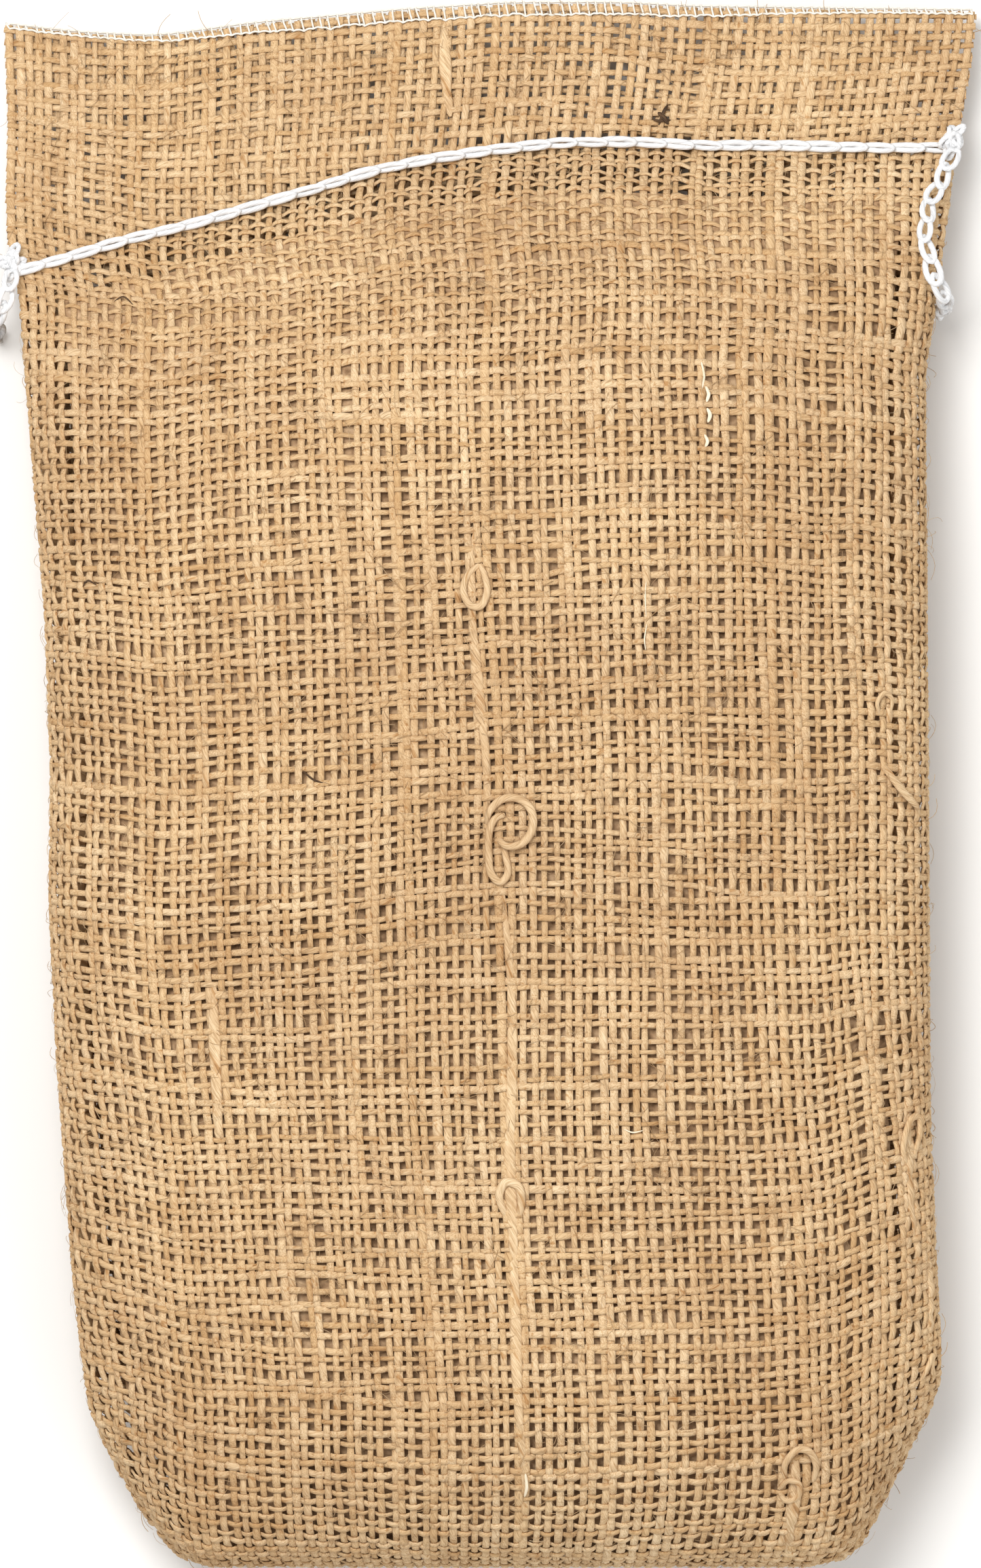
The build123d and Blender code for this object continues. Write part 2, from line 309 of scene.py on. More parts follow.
juteLook = {
    "twist": 150.0,  # how fast the fibres cross the yarn, in widths per metre
    "fibres": (7.0, 210.0, 3, 0.62),  # scale across and along, detail, roughness
    "fineFibres": (23.0, 420.0, 2, 0.6),
    "flecks": (1.3, 62.0, 2, 0.7),
    "fibreColours": [(0.30, (0.33, 0.195, 0.094)), (0.43, (0.575, 0.395, 0.216)),
                     (0.54, (0.735, 0.540, 0.320)), (0.68, (0.81, 0.645, 0.425))],
    "yarnTints": [(0, (0.83, 0.74, 0.62)), (0.35, (0.94, 0.91, 0.86)),
                  (0.65, (0.98, 0.98, 0.98)), (1, (1.03, 1.07, 1.13))],
    "fleckTints": [(0.30, (0.74, 0.60, 0.46)), (0.42, (1.0, 1.0, 1.0)),
                   (0.66, (1.0, 1.0, 1.0)), (0.74, (1.08, 1.12, 1.18))],
    "patchTints": [(0.32, (0.90, 0.84, 0.79)), (0.66, (1.04, 1.03, 1.02))],
    "spotTints": [(0.30, (0.86, 0.80, 0.74)), (0.56, (1.0, 1.0, 1.0))],
}


def juteFinish():
    finish, tree, shader = newFinish("juteYarn", 0.86, 0.18)
    twist = juteLook["twist"]
    fibre = strandNoise(tree, twist, *juteLook["fibres"])
    both = mixValues(tree, fibre, strandNoise(tree, twist, *juteLook["fineFibres"]), 0.62)
    colour = ramp(tree, both, juteLook["fibreColours"])
    for value, tints, share in (
        (attributeValue(tree, "tone"), "yarnTints", 1.0),
        (strandNoise(tree, twist, *juteLook["flecks"]), "fleckTints", 1.0),
        (patchNoise(tree, 16.0), "patchTints", 1.0), (patchNoise(tree, 120.0, 2), "spotTints", 0.8),
    ):
        colour = multiplyColour(tree, colour, ramp(tree, value, juteLook[tints]), share)
    tree.links.new(colour, shader.inputs["Base Color"])
    addRelief(tree, shader, both, 0.75, 0.0003)
    return finish


def plainStrandFinish(name, dark, light, roughness, twist, depth):
    finish, tree, shader = newFinish(name, roughness)
    fibre = strandNoise(tree, twist, 5.0, 300.0, 3, 0.6)
    tree.links.new(ramp(tree, fibre, [(0.32, dark), (0.62, light)]), shader.inputs["Base Color"])
    addRelief(tree, shader, fibre, 0.8, depth)
    return finish


def fillingFinish():
    finish, tree, shader = newFinish("looseFilling", 0.95, 0.1)
    both = mixValues(tree, patchNoise(tree, 420.0, 4), patchNoise(tree, 55.0), 0.6)
    stops = [(0.34, (0.17, 0.098, 0.050)), (0.5, (0.42, 0.265, 0.145)), (0.66, (0.64, 0.445, 0.265))]
    tree.links.new(ramp(tree, both, stops), shader.inputs["Base Color"])
    addRelief(tree, shader, both, 0.9, 0.0012)
    return finish


jute = juteFinish()
cotton = plainStrandFinish("whiteCotton", (0.58, 0.58, 0.585), (0.86, 0.86, 0.86), 0.7, 520.0, 0.00022)
overlockCotton = plainStrandFinish("overlockCotton", (0.62, 0.57, 0.49), (0.86, 0.82, 0.74), 0.7, 520.0,
                                   0.0001)
twine = plainStrandFinish("juteTwine", (0.42, 0.25, 0.12), (0.80, 0.57, 0.34), 0.85, 300.0, 0.0002)
bark = plainStrandFinish("bark", (0.020, 0.012, 0.008), (0.12, 0.065, 0.03), 0.8, 40.0, 0.0003)
straw = plainStrandFinish("paleStraw", (0.72, 0.58, 0.38), (0.90, 0.80, 0.62), 0.6, 60.0, 0.0001)
loose = fillingFinish()
print("finishes made")


# chain tails: two limp ends of the closing stitch, links of cotton thread

chain = {
    "strand": 1.75 * mm,
    "pitch": 8.8 * mm,
    "overlap": 2.5 * mm,  # how far a link runs on inside its neighbour
    "width": 2.1 * mm,  # between the two strands of a link
    "tailPitch": 6.6 * mm,
    "tailWidth": 4.9 * mm,
    "tailStrand": 1.9 * mm,
    "tailDiameter": 6.0 * mm,
    "rightTail": [
        (142.6, 195.4, 22.4), (138.2, 186.0, 27.6), (133.6, 177.0, 32.8), (132.8, 167.0, 38.4),
        (135.2, 157.6, 40.6), (138.6, 150.4, 37.6), (139.8, 147.6, 27.8), (138.6, 146.0, 14.6),
        (137.6, 145.4, 2.6),
    ],
    "leftTail": [
        (-147.4, 158.4, 21.4), (-148.0, 151.6, 26.0), (-151.2, 146.0, 25.6), (-153.2, 142.4, 18.4),
        (-152.6, 139.8, 9.6), (-151.8, 138.6, 1.9),
    ],
}


def routePoints(name, points, closeness=24):
    # the smooth line of a route, as points close together
    route = bpy.data.curves.new(name, "CURVE")
    route.dimensions = "3D"
    spline = route.splines.new("NURBS")
    spline.points.add(len(points) - 1)
    for knotPoint, place in zip(spline.points, points):
        knotPoint.co = (*[value * mm for value in place], 1)
    spline.order_u = 3
    spline.use_endpoint_u = True
    spline.resolution_u = closeness
    holder = addObject(name, route)
    line = bpy.data.meshes.new_from_object(holder)
    places = np.array([vertex.co for vertex in line.vertices])
    bpy.data.objects.remove(holder)
    return places


def lineSteps(places):
    return np.concatenate([[0], np.cumsum(np.linalg.norm(np.diff(places, axis=0), axis=1))])


def unit(vectors):
    return vectors / np.maximum(np.linalg.norm(vectors, axis=-1, keepdims=True), 1e-12)


def atLength(places, steps, wanted):
    return np.stack([np.interp(wanted, steps, places[:, k]) for k in range(3)], -1)


def addChain(strands, places, up, pitch, width, strand, rng, roll=0.0):
    # links that follow a line; each is a loop whose tail lies in the head of the one before
    steps = lineSteps(places)
    count = max(1, round(steps[-1] / pitch))
    turn = np.linspace(0, 2 * math.pi, 17)[:-1]
    length = pitch + chain["overlap"]
    step = 0.4 * mm
    for k in range(count):
        middle = (k + 0.5) * steps[-1] / count
        along = middle - np.cos(turn) * length / 2 * (1 + 0.05 * rng.standard_normal())
        centre = atLength(places, steps, np.clip(along, 0, steps[-1]))
        ahead = unit(atLength(places, steps, np.clip(along + step, 0, steps[-1]))
                     - atLength(places, steps, np.clip(along - step, 0, steps[-1])))
        lean = roll * (1 if k % 2 else -1) + 0.10 * rng.standard_normal()
        upward = unit(up - ahead * (ahead * up).sum(-1, keepdims=True))
        side = np.cross(ahead, upward)
        turned = side * math.cos(lean) + upward * math.sin(lean)
        side, upward = turned, upward * math.cos(lean) - side * math.sin(lean)
        swellOut = 0.70 + 0.30 * (1 - np.cos(turn)) / 2
        sideways = np.sin(turn) * width / 2 * swellOut * (1 + 0.06 * rng.standard_normal())
        climb = (0.10 - 0.50 * np.cos(turn)) * strand
        loop = centre + side * sideways[:, None] + upward * climb[:, None]
        addStrand(strands, loop, upward, strand * (1 + 0.05 * rng.standard_normal()),
                  rng.random(), closed=True, along=turn / 6 * length)


def makeTail(name, route, node):
    rng = np.random.default_rng(seed + len(route))
    places = routePoints(name + "Route", route)
    strands = newStrands()
    addChain(strands, places, np.array([0.15, 0.0, 1.0]), chain["tailPitch"], chain["tailWidth"],
             chain["tailStrand"], rng, roll=0.35)
    piece = makeStrands(name, strands, cotton, flatness=0.92, sides=8)
    fasten(piece, "sack", "cotton_thread", node)


makeTail("rightChainTail", chain["rightTail"], "right_chain_tail")
makeTail("leftChainTail", chain["leftTail"], "left_chain_tail")


# the sack's shape, in metres


def pairs(*values):
    return np.array(values, float).reshape(-1, 2) * mm


sack = {
    # side edges as (height up the sack, place across), running on past the tucked corners
    "leftEdge": pairs(-240, -121, -190, -124.4, -150, -128.8, -84, -133.6, -34, -136, 4, -135.4, 54, -137.4,
                      116, -142.8, 150, -146, 166, -150, 182, -150.6, 204, -150.0, 240, -151.6),
    "rightEdge": pairs(-240, 139, -172, 138.4, -147, 136.9, -100, 135, 4, 134.4, 90, 133.8, 128, 133.8,
                       141, 136, 166, 139.6, 204, 145.6, 222, 149, 240, 151.0),
    # lower outline with its slanted corners, then the mouth and the closing stitch, as (across, up)
    "foot": pairs(-124.4, -190, -113.5, -209, -105.8, -222, -97.5, -233, -91.5, -238.6, -86, -240.2,
                  97, -240.2, 105, -238.4, 111.6, -233, 117.1, -222, 126.9, -203, 134.6, -190, 138.6, -182),
    "mouth": pairs(-152, 235.4, -128, 232.6, -103, 231.4, -72, 235.6, -52, 237.2, -28, 239.4, 6, 241.6,
                   40, 241.6, 62, 240.4, 100, 239.8, 152, 239),
    "seam": pairs(-152, 156.4, -132, 162, -112.5, 168, -93, 172.5, -74, 178, -55, 183.6, -35.5, 189.6,
                  -16, 193.4, 3, 196, 22, 198, 44, 198.2, 66, 197, 89, 197, 118, 196.2, 152, 196.4),
    "tuckInward": {"left": (0.797, 0.604), "right": (-0.814, 0.582)},
    "cornersPast": 80 * mm,  # the slanted corners lie further out than this
    "tuckReach": 45 * mm,  # the furthest that a folded corner reaches in
    "tuckEase": 6 * mm,  # from the fold to where the gap is full
    "tuckGap": 3.4 * mm,  # air between the underside and a folded corner
    "crown": 82.9 * mm,
    "soleLevel": 1.05 * mm,
    "sideLevel": 37 * mm,
    "footLevel": 34 * mm,
    "noseRound": 62 * mm,
    "heelRound": 46 * mm,
    "shoulderRound": 105 * mm,
    "neckRound": 62 * mm,
    "pinch": 2.6 * mm,  # from the chain to the foot of the swelling
    "fullness": {"front": 2.2, "back": 2.8},  # 2 is an ellipse, more is squarer
    "foldHeight": 11 * mm,
    "droop": math.radians(8.5),
    "plyLevels": {"front": 2.55 * mm, "back": 0.75 * mm},  # above the heading's own plane
    "inset": 0.9 * mm,  # from the outline to the middle of the edge yarns
    "mouthLevel": 236 * mm,
    "lumps": 1.3 * mm,
    "puckers": 1.5 * mm,
    "puckerReach": 26 * mm,  # how far they run down from the closing stitch
    "puckerWidth": 4.4 * mm,
    "wave": 1.1 * mm,  # of the heading
}
plies = {"front": 1, "back": -1}
bottomLine = sack["foot"][:, 1].min()


def curveThrough(points, blur):
    # a value along an axis, through the points, with its corners eased
    at = np.linspace(points[0, 0], points[-1, 0], 801)
    value = np.interp(at, points[:, 0], points[:, 1])
    reach = max(1, round(blur / (at[1] - at[0])))
    window = np.hanning(2 * reach + 3)[1:-1]
    ends = [2 * value[0] - value[reach:0:-1], value, 2 * value[-1] - value[-2:-reach - 2:-1]]
    eased = np.convolve(np.concatenate(ends), window / window.sum(), "valid")
    return lambda q: np.interp(q, at, eased)


leftEdge = curveThrough(sack["leftEdge"], 7 * mm)
rightEdge = curveThrough(sack["rightEdge"], 7 * mm)
mouthLine = curveThrough(sack["mouth"], 12 * mm)
seamLine = curveThrough(sack["seam"], 9 * mm)
footLine = curveThrough(sack["foot"], 2.5 * mm)


def swell(distance, length, power):
    left = 1 - np.clip(distance / length, 0, 1)
    return (1 - left**power) ** (1 / power)


def rise(distance, length):
    return np.sin(np.clip(distance / length, 0, 1) * math.pi / 2) ** 0.92


def ease(value):
    value = np.clip(value, 0, 1)
    return value * value * (3 - 2 * value)


def pastFold(x, y):
    # distance from the heading's fold line towards the mouth
    return (x - foldPoint[0]) * foldAway[0] + (y - foldPoint[1]) * foldAway[1]


def softNoise(rng, rows, columns, rowStep, columnStep):
    # a table of smooth random values of about one, changing over that many rows and columns
    coarse = rng.standard_normal((int(rows / rowStep) + 3, int(columns / columnStep) + 3))

    def stretch(table, wanted, step):
        at = np.arange(wanted) / step
        low = at.astype(int)
        share = ease(at - low)[:, None]
        return table[low] * (1 - share) + table[low + 1] * share

    return stretch(stretch(coarse, rows, rowStep).T, columns, columnStep).T


lumpTable = softNoise(np.random.default_rng(seed), 61, 41, 7, 7)
waveTable = softNoise(np.random.default_rng(seed + 1), 61, 41, 60, 7)


def between(table, across, up):
    # the value of a table between its columns and rows
    i, j = across.astype(int), up.astype(int)
    a, b = across - i, up - j
    if table.ndim == 3:
        a, b = a[..., None], b[..., None]
    low = table[j, i] * (1 - a) + table[j, i + 1] * a
    return low * (1 - b) + (table[j + 1, i] * (1 - a) + table[j + 1, i + 1] * a) * b


def fieldValue(table, x, y):
    # the value of a table laid over the whole sack, 320 by 500 mm
    across = np.clip((x / mm + 160) / 320, 0, 1) * (table.shape[1] - 1.001)
    up = np.clip((y / mm + 250) / 500, 0, 1) * (table.shape[0] - 1.001)
    return between(table, across, up)


def headingHeight(x, y, ply):
    wave = sack["wave"] * fieldValue(waveTable, x, y) * ease((pastFold(x, y) + 25 * mm) / (30 * mm))
    level = sack["foldHeight"] - pastFold(x, y) * math.tan(sack["droop"])
    return np.maximum(level + sack["plyLevels"][ply] + wave, 0.9 * mm + sack["plyLevels"][ply] - 0.75 * mm)


def clothHeight(x, y, ply, inset=0.0):
    # height of the middle of the cloth over a place in plan; inset takes it in towards the filling
    left, right = leftEdge(y) + sack["inset"] + inset, rightEdge(y) - sack["inset"] - inset
    across = np.clip(np.abs(2 * (x - left) / (right - left) - 1), 0, 1)
    seamY = seamLine(x) - sack["pinch"]
    foot = footLine(x) + sack["inset"] + inset
    low, high = y - foot, seamY - y
    run = np.clip(low / (low + high), 0, 1)
    seamLevel = headingHeight(x, seamY, ply)
    side = seamLevel + (sack["sideLevel"] - seamLevel) * swell(1 - run, 0.40, 1.25)
    side = side - (sack["sideLevel"] - sack["footLevel"]) * (1 - swell(run, 0.15, 2))
    fullness = sack["fullness"][ply]
    section = np.maximum(1 - across ** fullness, 0) ** (1 / fullness)
    if ply == "front":
        lift = section * swell(low, sack["noseRound"], 2) * rise(high, sack["shoulderRound"])
        height = side + (sack["crown"] - inset - side) * lift
        lumps = sack["lumps"] * fieldValue(lumpTable, x, y) * np.minimum(lift * 1.5, 1)
        gather = np.exp(-np.clip(high, 0, 1) / sack["puckerReach"]) * ease(high / (5 * mm)) * section
        waves = np.sin(x / sack["puckerWidth"] + 3 * fieldValue(lumpTable, x, y))
        puckers = sack["puckers"] * gather * waves
        height = height + lumps + puckers - sack["lumps"] * np.minimum(lift * 1.5, 1)
    else:
        drop = section * swell(low, sack["heelRound"], 2) * rise(high, sack["neckRound"])
        height = side - (side + 0.8 * mm) * drop
        height = np.maximum(height, sack["soleLevel"]) + inset * np.minimum(drop * 1.5, 1)
    return np.where(high < 0, headingHeight(x, y, ply), height)


weave = {
    "warps": 84,
    "wefts": 152,
    "flatWidth": 300 * mm,
    "flatLength": 515 * mm,
    "spreadAcross": 0.42,  # how far the yarns keep an even spacing in plan instead of along the cloth
    "spreadUp": 0.2,
    "leanWarp": 11,  # where the heading's weft leans most
    "leanWeft": 128,
}


def sharedSteps(line, spread):
    # steps along a line, partly by its real length and partly by its length in plan
    flat = line * [1, 1, 0]
    return lineSteps(line) * (1 - spread) + lineSteps(flat) * spread


def tuckUnder(places, ply):
    # folds what lies past the slanted corners down and in, close under the body
    x, y, z = places[..., 0].copy(), places[..., 1].copy(), places[..., 2].copy()
    gap = sack["tuckGap"] * (1 if ply == "front" else 0.5)
    for side, inward in sack["tuckInward"].items():
        outwards = -x if side == "left" else x
        past = (footLine(x) + sack["inset"] - y > 0) & (outwards > sack["cornersPast"])
        if not past.any():
            continue
        px, py, pz = x[past], y[past], z[past]
        near, far = np.zeros(len(px)), np.full(len(px), sack["tuckReach"])
        for _ in range(24):  # how far in the slanted edge is
            middle = (near + far) / 2
            outside = footLine(px + inward[0] * middle) + sack["inset"] - (py + inward[1] * middle) > 0
            near, far = np.where(outside, middle, near), np.where(outside, far, middle)
        wanted = (near + far) / 2
        edgeX, edgeY = px + inward[0] * wanted, py + inward[1] * wanted
        steps = np.linspace(0, sack["tuckReach"], 120)
        under = clothHeight(edgeX[:, None] + inward[0] * steps, edgeY[:, None] + inward[1] * steps, "back")
        under = np.minimum(under, pz[:, None])
        runs = np.hypot(np.diff(steps), np.diff(under, axis=1))
        runs = np.concatenate([np.zeros((len(px), 1)), np.cumsum(runs, axis=1)], axis=1)
        inner = np.array([np.interp(w, r, steps) for w, r in zip(wanted, runs)])
        down = np.array([np.interp(s, steps, u) for s, u in zip(inner, under)])
        further = 3 * mm
        slope = np.array([np.interp(s + further, steps, u) for s, u in zip(inner, under)]) - down
        tilt = np.arctan2(-slope, further)
        off = gap * ease(wanted / sack["tuckEase"])
        inner = inner - np.sin(tilt) * off
        x[past] = edgeX + inward[0] * inner
        y[past] = edgeY + inward[1] * inner
        z[past] = np.maximum(down - np.cos(tilt) * off, sack["soleLevel"])
    return np.stack([x, y, z], -1)


def clothTable(ply):
    # places, outward directions and corner marks of one ply, at even steps of its weave
    fineAcross = (1 - np.cos(np.linspace(0, math.pi, 321))) / 2
    fineUp = np.linspace(0, 1, 760) ** 1.5
    columns, rows = 4 * weave["warps"] + 1, 3 * weave["wefts"] + 1
    level = bottomLine + sack["inset"] + fineUp * (sack["mouthLevel"] - bottomLine)
    left, right = leftEdge(level) + sack["inset"], rightEdge(level) - sack["inset"]
    x = left[:, None] + (right - left)[:, None] * fineAcross
    y = bottomLine + sack["inset"] + fineUp[:, None] * (mouthLine(x) - 0.6 * mm - bottomLine - sack["inset"])
    left, right = leftEdge(y) + sack["inset"], rightEdge(y) - sack["inset"]
    x = left + (right - left) * fineAcross
    z = clothHeight(x, np.maximum(y, footLine(x) + sack["inset"]), ply)
    fine = np.stack([x, y, z], -1)
    even = np.linspace(0, 1, columns)
    laid = np.empty((len(fine), columns, 3))
    for k, line in enumerate(fine):
        steps = sharedSteps(line, weave["spreadAcross"])
        laid[k] = atLength(line, steps, even * steps[-1])
    even = np.linspace(0, 1, rows)
    table = np.empty((rows, columns, 3))
    for k in range(columns):
        line = laid[:, k]
        steps = sharedSteps(line, weave["spreadUp"])
        table[:, k] = atLength(line, steps, even * steps[-1])
    beyond = footLine(table[..., 0]) + sack["inset"] - table[..., 1] > 0.05 * mm
    beyond &= np.abs(table[..., 0]) > sack["cornersPast"]
    marks = np.where(beyond, np.sign(table[..., 0]), 0)
    table = tuckUnder(table, ply)
    acrossWay = np.gradient(table, axis=1)
    upWay = np.gradient(table, axis=0)
    outward = unit(np.cross(acrossWay, upWay)) * plies[ply]
    return table, outward, marks


def readTable(table, across, up):
    # smooth values of a table at shares across and up
    i = np.clip(across, 0, 1) * (table.shape[1] - 1.0001)
    j = np.clip(up, 0, 1) * (table.shape[0] - 1.0001)
    return between(table, i, j)


tables = {ply: clothTable(ply) for ply in plies}
print("shape laid out")


# yarns: plain weave, laid crossing by crossing

yarns = {
    "warpWidth": 2.5 * mm,
    "weftWidth": 2.05 * mm,
    "crimp": 0.44 * mm,
    "flatness": 0.42,  # thickness over width
    "shoulder": 0.24,  # where a yarn turns down, as a share of the pitch from its crossing
    "wander": 0.24,  # how far a yarn drifts, in pitches
    "drift": 0.5,  # how far neighbours drift together, in pitches
    "jitter": 0.075,
    "bandRows": 31,  # wefts in one piece of the body's cloth
    "stripEnd": 5.5 * mm,  # where the strip along the fold ends
}


def weavePlan(ply, rng):
    # where every crossing lies, as shares of the cloth's width and length
    warps, wefts = weave["warps"], weave["wefts"]
    i, j = np.arange(warps), np.arange(wefts)
    shape = (wefts, warps)
    edgeCalm = np.minimum(1, np.minimum(i + 0.5, warps - i - 0.5) / 5)
    endCalm = np.minimum(1, np.minimum(j + 0.5, wefts - j - 0.5) / 5)[:, None]
    across = np.tile(i + 0.5, (wefts, 1)) + edgeCalm * (
        yarns["jitter"] * rng.standard_normal(warps)
        + yarns["wander"] * 0.55 * softNoise(rng, *shape, 16, 1.0)
        + yarns["drift"] * softNoise(rng, *shape, 34, 24))
    up = np.tile((j + 0.5)[:, None], (1, warps)) + endCalm * (
        yarns["jitter"] * rng.standard_normal(wefts)[:, None]
        + yarns["wander"] * 0.8 * softNoise(rng, *shape, 1.0, 11)
        + 0.07 * softNoise(rng, *shape, 1.0, 1.6)
        + yarns["drift"] * softNoise(rng, *shape, 22, 22))
    if ply == "front":  # the heading's weft runs downhill beside the left end of the closing stitch
        aside = i[None, :] - weave["leanWarp"]
        near = np.exp(-(aside / 20.0) ** 2) * np.exp(-((j[:, None] - weave["leanWeft"]) / 13.0) ** 2)
        up = up - 2.4 * near * aside / 11
    return across, up


def zoneOf(places, up, marks, ply):
    # which piece of cloth a sample belongs to
    away = pastFold(places[:, 0], places[:, 1])
    band = np.floor(up * weave["wefts"] / yarns["bandRows"]).astype(int)
    zone = np.char.add(ply + "Cloth", (band + 1).astype(str)).astype("<U24")
    if ply == "front":
        zone = np.where(away > fold["sackEnd"], "headingFold", zone)
        zone = np.where(away > yarns["stripEnd"], "headingFront", zone)
    else:
        zone = np.where(away > fold["sackEnd"], "headingBack", zone)
    zone = np.where(marks < 0, "leftCornerTuck", zone)
    return np.where(marks > 0, "rightCornerTuck", zone)


def layYarn(zones, ply, across, up, lift, width, tone):
    # one yarn from edge to edge, cut where it passes from one piece to the next
    table, outward, markTable = tables[ply]
    places, way = readTable(table, across, up), unit(readTable(outward, across, up))
    marks = np.sign(np.round(readTable(markTable, across, up)))
    along = lineSteps(places) + 0.37 * tone[0]
    zone = zoneOf(places, up, marks, ply)
    cuts = np.flatnonzero(zone[1:] != zone[:-1])
    low, joint = 0, None
    for cut in [*cuts, len(zone) - 1]:
        last = cut == len(zone) - 1
        take = slice(low, cut + 1)
        parts = [places[take], way[take], width[take], tone[take], lift[take], along[take]]
        if joint is not None:
            parts = [np.concatenate([first[None], part]) for first, part in zip(joint, parts)]
        if not last:
            joint = [(value[cut] + value[cut + 1]) / 2 for value in (places, way, width, tone, lift, along)]
            parts = [np.concatenate([part, end[None]]) for part, end in zip(parts, joint)]
        if len(parts[0]) > 1:
            addStrand(zones.setdefault(str(zone[cut]), newStrands()), *parts)
        low = cut + 1


def sampleLine(across, up, over, swing):
    # two samples at each crossing, where the yarn turns down on either side of it
    count = len(across)
    shoulder = yarns["shoulder"]
    at = (np.arange(count)[:, None] + [-shoulder, shoulder]).ravel()
    at = np.concatenate([[-0.499], at, [count - 0.501]])
    order = np.arange(count)

    def spread(values, slopeEnds=True):
        inside = np.interp(at, order, values)
        if slopeEnds:  # run straight on to the very edge
            inside = inside + np.minimum(at, 0) * (values[1] - values[0])
            inside = inside + np.maximum(at - count + 1, 0) * (values[-1] - values[-2])
        return inside

    lift = np.repeat(np.where(over, 1.0, -1.0) * swing, 2)
    lift = np.concatenate([[0.0], lift, [0.0]])
    return spread(across), spread(up), lift, lambda values: spread(values, False)


def countCrossings(cuts, ply, across, up):
    # how many crossings each piece holds, and how far they reach in the flat cloth
    table, _, markTable = tables[ply]
    across, up = np.clip(across / weave["warps"], 0, 1), np.clip(up / weave["wefts"], 0, 1)
    marks = np.sign(np.round(readTable(markTable, across, up)))
    places = readTable(table, across.ravel(), up.ravel())
    zone = zoneOf(places, up.ravel(), marks.ravel(), ply).reshape(across.shape)
    for name in np.unique(zone):
        rows, columns = np.nonzero(zone == name)
        cuts.setdefault(str(name), []).append((len(rows), np.ptp(columns) + 1, np.ptp(rows) + 1))


def layCloth(ply, zones, cuts):
    rng = np.random.default_rng(seed + (2 if ply == "front" else 3))
    warps, wefts = weave["warps"], weave["wefts"]
    across, up = weavePlan(ply, rng)
    countCrossings(cuts, ply, across, up)
    warpSlub = softNoise(rng, wefts, warps, 5, 1.0) * 0.085 + softNoise(rng, wefts, warps, 1.7, 1.0) * 0.045
    weftSlub = softNoise(rng, wefts, warps, 1.0, 5) * 0.10 + softNoise(rng, wefts, warps, 1.0, 1.7) * 0.05
    warpSize = 1 + 0.10 * rng.standard_normal(warps)
    weftSize = 1 + 0.12 * rng.standard_normal(wefts)
    warpTone, weftTone = rng.random(warps), rng.random(wefts)
    for i in range(warps):
        over = (np.arange(wefts) + i) % 2 == 0
        width = yarns["warpWidth"] * np.clip(warpSize[i] + warpSlub[:, i], 0.72, 1.4)
        lineAcross, lineUp, lift, spread = sampleLine(across[:, i], up[:, i], over, 0.85)
        tone = np.clip(warpTone[i] * 0.6 + 0.24 + 1.3 * warpSlub[:, i], 0, 1)
        lineUp = np.clip(lineUp / wefts, 0, 1)
        layYarn(zones, ply, lineAcross / warps, lineUp, lift, spread(width), spread(tone))
    for j in range(wefts):
        over = (j + np.arange(warps)) % 2 == 1
        width = yarns["weftWidth"] * np.clip(weftSize[j] + weftSlub[j], 0.70, 1.45)
        lineAcross, lineUp, lift, spread = sampleLine(across[j], up[j], over, 1.15)
        tone = np.clip(weftTone[j] * 0.6 + 0.20 + 1.3 * weftSlub[j], 0, 1)
        lineAcross = np.clip(lineAcross / warps, 0, 1)
        layYarn(zones, ply, lineAcross, lineUp / wefts, lift, spread(width), spread(tone))


def declareCloth(cuts):
    # the flat size before filling, counted in crossings of the weave; it is worked out here and not kept
    across, up = weave["flatWidth"] / weave["warps"], weave["flatLength"] / weave["wefts"]
    area = sum(count for count, _, _ in cuts) * across * up
    width = max(columns for _, columns, _ in cuts) * across
    length = sum(rows for _, _, rows in cuts) * up
    if area < 0.4 * width * length:  # a slanting strip is measured along its slant
        length = max(1.02 * area / width, 10 * mm)


standsFor = {
    "frontCloth1": ["front_panel"],
    "backCloth1": ["back_panel"],
    "leftCornerTuck": ["left_corner_tuck"],
    "rightCornerTuck": ["right_corner_tuck"],
    "headingFold": ["heading_root_front", "heading_root_back"],
    "headingFront": ["heading_front_ply"],
    "headingBack": ["heading_back_ply"],
}
rides = {"headingFold": "rootFold", "headingFront": "frontFold", "headingBack": "rootFold"}

zones, cuts = {}, {}
layCloth("front", zones, cuts)
layCloth("back", zones, cuts)
cloth = {}
for name in sorted(zones):
    sides = 4 if name.startswith("back") else 6
    cloth[name] = makeStrands(name, zones[name], jute, yarns["crimp"], yarns["flatness"], sides)
    fasten(cloth[name], rides.get(name, "sack"), "jute", *standsFor.get(name, []))
for name, piece in cloth.items():
    declareCloth(cuts[name])
print("cloth woven")


# closing stitch: a chain on the front, dashes on the back, a tuft at each end


def ridge(x, ply):
    # the top of the yarns over the closing stitch's line
    y = seamLine(x)
    level = np.where(ply == "front", clothHeight(x, y + 1 * mm, "front"), clothHeight(x, y, "back"))
    thick = yarns["crimp"] + yarns["warpWidth"] * yarns["flatness"] / 2
    return np.stack([x, y, level + plies[ply] * thick], -1)


